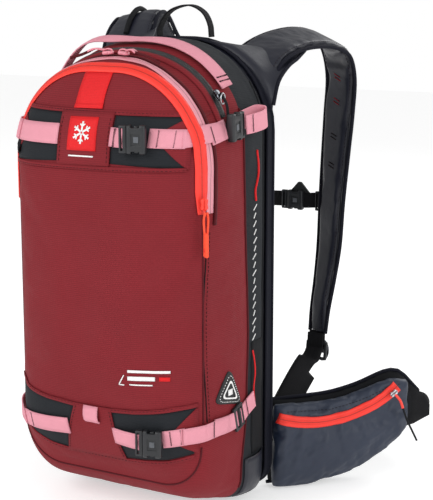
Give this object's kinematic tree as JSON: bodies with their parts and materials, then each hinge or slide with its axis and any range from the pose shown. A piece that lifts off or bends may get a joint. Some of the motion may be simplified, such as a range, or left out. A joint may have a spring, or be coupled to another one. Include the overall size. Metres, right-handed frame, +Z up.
{
  "type": "avalanche airbag backpack",
  "caption": "Ski backpack with a folded airbag in its rear band, gas inflation kit, padded shoulder straps, hip belt with pocket, zips and lashing straps",
  "frame": {"origin": "middle of the flat base under the airbag band", "axes": "+Z up, -Y the front of the pack away from the wearer, +Y the wearer's back, +X the side with the hip pocket"},
  "size_m": [0.514, 0.455, 0.5871],
  "materials": {
    "burgundy_fabric": "burgundy coated ripstop polyester",
    "black_fabric": "charcoal woven polyester",
    "navy_fabric": "dark navy coated polyester over foam",
    "slate_fabric": "slate navy coated polyester",
    "pink_webbing": "pink woven webbing",
    "black_webbing": "black woven webbing",
    "red_fabric": "red coated fabric",
    "red_zip": "red coil zip tape",
    "pink_zip": "pink coil zip tape",
    "black_zip": "black coated water-resistant zip",
    "orange_cord": "orange cord pull",
    "black_plastic": "black acetal buckle",
    "trigger_plastic": "red moulded pull handle",
    "bright_steel": "bright steel",
    "valve_aluminium": "machined aluminium",
    "black_rubber": "black rubber hose",
    "frame_sheet_plastic": "grey polyethylene sheet",
    "airbag_nylon": "orange airbag nylon"
  },
  "bodies": {
    "pack_body": {"airbag_band": "black_fabric", "airbag_left": "airbag_nylon", "airbag_right": "airbag_nylon", "back_panel": "navy_fabric", "center_flap": "red_fabric", "frame_sheet": "frame_sheet_plastic", "front_buckle_lower_female": "black_plastic", "front_buckle_upper_female": "black_plastic", "front_pocket": "burgundy_fabric", "front_strap_lower_left": "pink_webbing", "front_strap_lower_right": "pink_webbing", "front_strap_upper_left": "pink_webbing", "front_strap_upper_right": "pink_webbing", "front_zip": "red_zip", "gas_cartridge": "bright_steel", "inflation_hose": "black_rubber", "inflation_valve": "valve_aluminium", "lower_webbing_left": "black_webbing", "lower_webbing_right": "black_webbing", "lumbar_pad": "navy_fabric", "main_compartment": "burgundy_fabric", "main_zip": "pink_zip", "side_buckle_female": "black_plastic", "side_ladder_lock": "black_plastic", "side_strap_lower_left": "pink_webbing", "side_strap_lower_right": "pink_webbing", "side_strap_upper_left": "pink_webbing", "side_strap_upper_right": "pink_webbing", "top_strap": "pink_webbing", "top_zip": "black_zip", "trigger_cable": "black_rubber", "yoke_panel": "navy_fabric"},
    "shoulder_strap_right": {"shoulder_strap_right": "navy_fabric"},
    "shoulder_strap_left": {"shoulder_strap_left": "navy_fabric"},
    "ladder_lock_right": {"ladder_lock_right": "black_plastic"},
    "ladder_lock_left": {"ladder_lock_left": "black_plastic"},
    "sternum_strap": {"sternum_strap_right": "black_webbing", "sternum_strap_left": "black_webbing", "sternum_buckle_female": "black_plastic"},
    "sternum_clip": {"sternum_buckle_male": "black_plastic"},
    "trigger_handle": {"trigger_handle": "trigger_plastic"},
    "hip_wing_right": {"hip_wing_right": "black_fabric", "hip_pocket": "slate_fabric", "hip_pocket_zip": "red_zip", "hip_webbing_right": "black_webbing", "hip_buckle_male": "black_plastic"},
    "hip_wing_left": {"hip_wing_left": "black_fabric", "hip_webbing_left": "black_webbing", "hip_buckle_female": "black_plastic"},
    "hip_zip_slider": {"hip_zip_slider": "bright_steel"},
    "front_zip_slider": {"front_zip_slider": "red_zip"},
    "front_zip_pull": {"front_zip_pull": "orange_cord"},
    "main_zip_slider_right": {"main_zip_slider_right": "pink_zip"},
    "main_zip_slider_left": {"main_zip_slider_left": "pink_zip"},
    "top_zip_slider": {"top_zip_slider": "bright_steel"},
    "grab_loop": {"grab_loop": "black_webbing"},
    "front_clip_upper": {"front_buckle_upper_male": "black_plastic"},
    "front_clip_lower": {"front_buckle_lower_male": "black_plastic"},
    "side_clip": {"side_buckle_male": "black_plastic"}
  },
  "joints": [
    {"name": "shoulder_swing_right", "type": "hinge", "parent": "pack_body", "child": "shoulder_strap_right", "pos_m": [0, 0.07, 0.498], "axis": [1, 0, 0], "range_deg": [-8, 20]},
    {"name": "shoulder_swing_left", "type": "hinge", "parent": "pack_body", "child": "shoulder_strap_left", "pos_m": [0, 0.07, 0.498], "axis": [1, 0, 0], "range_deg": [-8, 20]},
    {"name": "ladder_lock_tilt_right", "type": "hinge", "parent": "shoulder_strap_right", "child": "ladder_lock_right", "pos_m": [0.114, 0.207, 0.157], "axis": [1, 0, 0], "range_deg": [-20, 25]},
    {"name": "ladder_lock_tilt_left", "type": "hinge", "parent": "shoulder_strap_left", "child": "ladder_lock_left", "pos_m": [-0.114, 0.207, 0.157], "axis": [1, 0, 0], "range_deg": [-20, 25]},
    {"name": "sternum_height", "type": "slide", "parent": "shoulder_strap_right", "child": "sternum_strap", "axis": [0, 0.1302, 0.9915], "range_m": [-0.025, 0.025]},
    {"name": "sternum_release", "type": "slide", "parent": "sternum_strap", "child": "sternum_clip", "axis": [-1, 0, 0], "range_m": [0, 0.018]},
    {"name": "trigger_pull", "type": "slide", "parent": "shoulder_strap_left", "child": "trigger_handle", "axis": [0, -0.126, -0.992], "range_m": [0, 0.035]},
    {"name": "hip_wing_swing_right", "type": "hinge", "parent": "pack_body", "child": "hip_wing_right", "pos_m": [0.112, 0.07, 0.045], "axis": [0, 0, 1], "range_deg": [-18, 25]},
    {"name": "hip_wing_swing_left", "type": "hinge", "parent": "pack_body", "child": "hip_wing_left", "pos_m": [-0.112, 0.07, 0.045], "axis": [0, 0, -1], "range_deg": [-18, 25]},
    {"name": "hip_pocket_zip_run", "type": "hinge", "parent": "hip_wing_right", "child": "hip_zip_slider", "pos_m": [0.17481, 0.09073, 0.25], "axis": [0.7314, -0.682, 0], "range_deg": [-44, 0]},
    {"name": "front_zip_run", "type": "slide", "parent": "pack_body", "child": "front_zip_slider", "axis": [0, 0, 1], "range_m": [0, 0.036]},
    {"name": "front_pull_flip", "type": "hinge", "parent": "front_zip_slider", "child": "front_zip_pull", "pos_m": [0.13221, -0.11078, 0.372], "axis": [-0.5735, -0.8192, 0], "range_deg": [0, 110]},
    {"name": "main_zip_run_right", "type": "hinge", "parent": "pack_body", "child": "main_zip_slider_right", "pos_m": [0.01847, -0.083, 0.41793], "axis": [0, 1, 0], "range_deg": [0, 50]},
    {"name": "main_zip_run_left", "type": "hinge", "parent": "pack_body", "child": "main_zip_slider_left", "pos_m": [-0.01847, -0.083, 0.41793], "axis": [0, -1, 0], "range_deg": [0, 50]},
    {"name": "top_zip_run", "type": "hinge", "parent": "pack_body", "child": "top_zip_slider", "pos_m": [0.019, -0.054, 0.42647], "axis": [0, -1, 0], "range_deg": [0, 50]},
    {"name": "grab_loop_flop", "type": "hinge", "parent": "pack_body", "child": "grab_loop", "pos_m": [0, 0.047, 0.553], "axis": [1, 0, 0], "range_deg": [-40, 40]},
    {"name": "front_clip_release_upper", "type": "slide", "parent": "pack_body", "child": "front_clip_upper", "axis": [-0.9563, -0.2924, 0], "range_m": [0, 0.022]},
    {"name": "front_clip_release_lower", "type": "slide", "parent": "pack_body", "child": "front_clip_lower", "axis": [-0.9511, -0.3089, 0], "range_m": [0, 0.022]},
    {"name": "side_clip_release", "type": "slide", "parent": "pack_body", "child": "side_clip", "axis": [0, 0.9968, 0.0797], "range_m": [0, 0.022]}
  ],
  "couplings": [
    {"joint": "shoulder_swing_left", "follows": "shoulder_swing_right", "ratio": 1}
  ]
}
